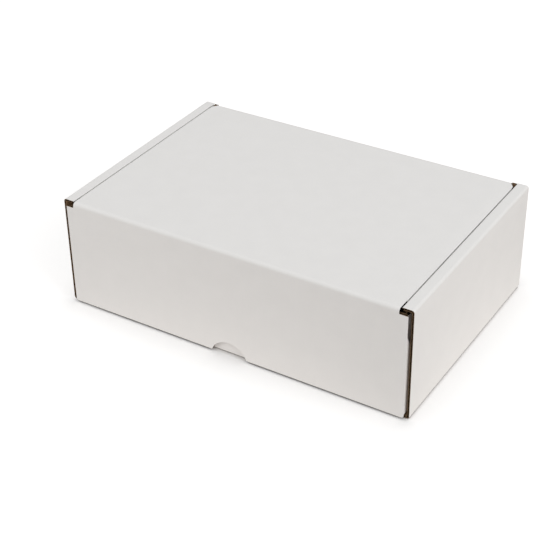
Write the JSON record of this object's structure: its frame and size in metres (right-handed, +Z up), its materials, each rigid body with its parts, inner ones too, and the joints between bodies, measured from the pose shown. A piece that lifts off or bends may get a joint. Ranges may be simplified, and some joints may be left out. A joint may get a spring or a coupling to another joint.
{
  "type": "corrugated mailer box",
  "caption": "Closed folded corrugated mailer box with rolled double side walls, a hinged lid with dust flaps and a front flap whose ears tuck into the sides.",
  "frame": {"origin": "middle of the underside of the closed box's bounding box", "axes": "+X along the length, +Y from the front flap to the back wall, +Z up through the lid"},
  "size_m": [0.2024, 0.1339, 0.0624],
  "materials": {
    "tray_board": "white outer liner, brown fluted core at the cut edges, matt",
    "lid_board": "white outer liner, brown inside, matt",
    "flap_board": "white outer liner, brown inside, matt"
  },
  "bodies": {
    "tray": {"tray": "tray_board"},
    "lid": {"lid": "lid_board"},
    "front_flap": {"front_flap": "flap_board"}
  },
  "joints": [
    {"name": "lid_hinge", "type": "hinge", "parent": "tray", "child": "lid", "pos_m": [0, 0.06695, 0.0624], "axis": [-1, 0, 0], "range_deg": [0, 105]},
    {"name": "front_flap_hinge", "type": "hinge", "parent": "lid", "child": "front_flap", "pos_m": [0, -0.06695, 0.0624], "axis": [-1, 0, 0], "range_deg": [0, 105]}
  ],
  "couplings": [
    {"joint": "front_flap_hinge", "follows": "lid_hinge", "ratio": 1}
  ]
}
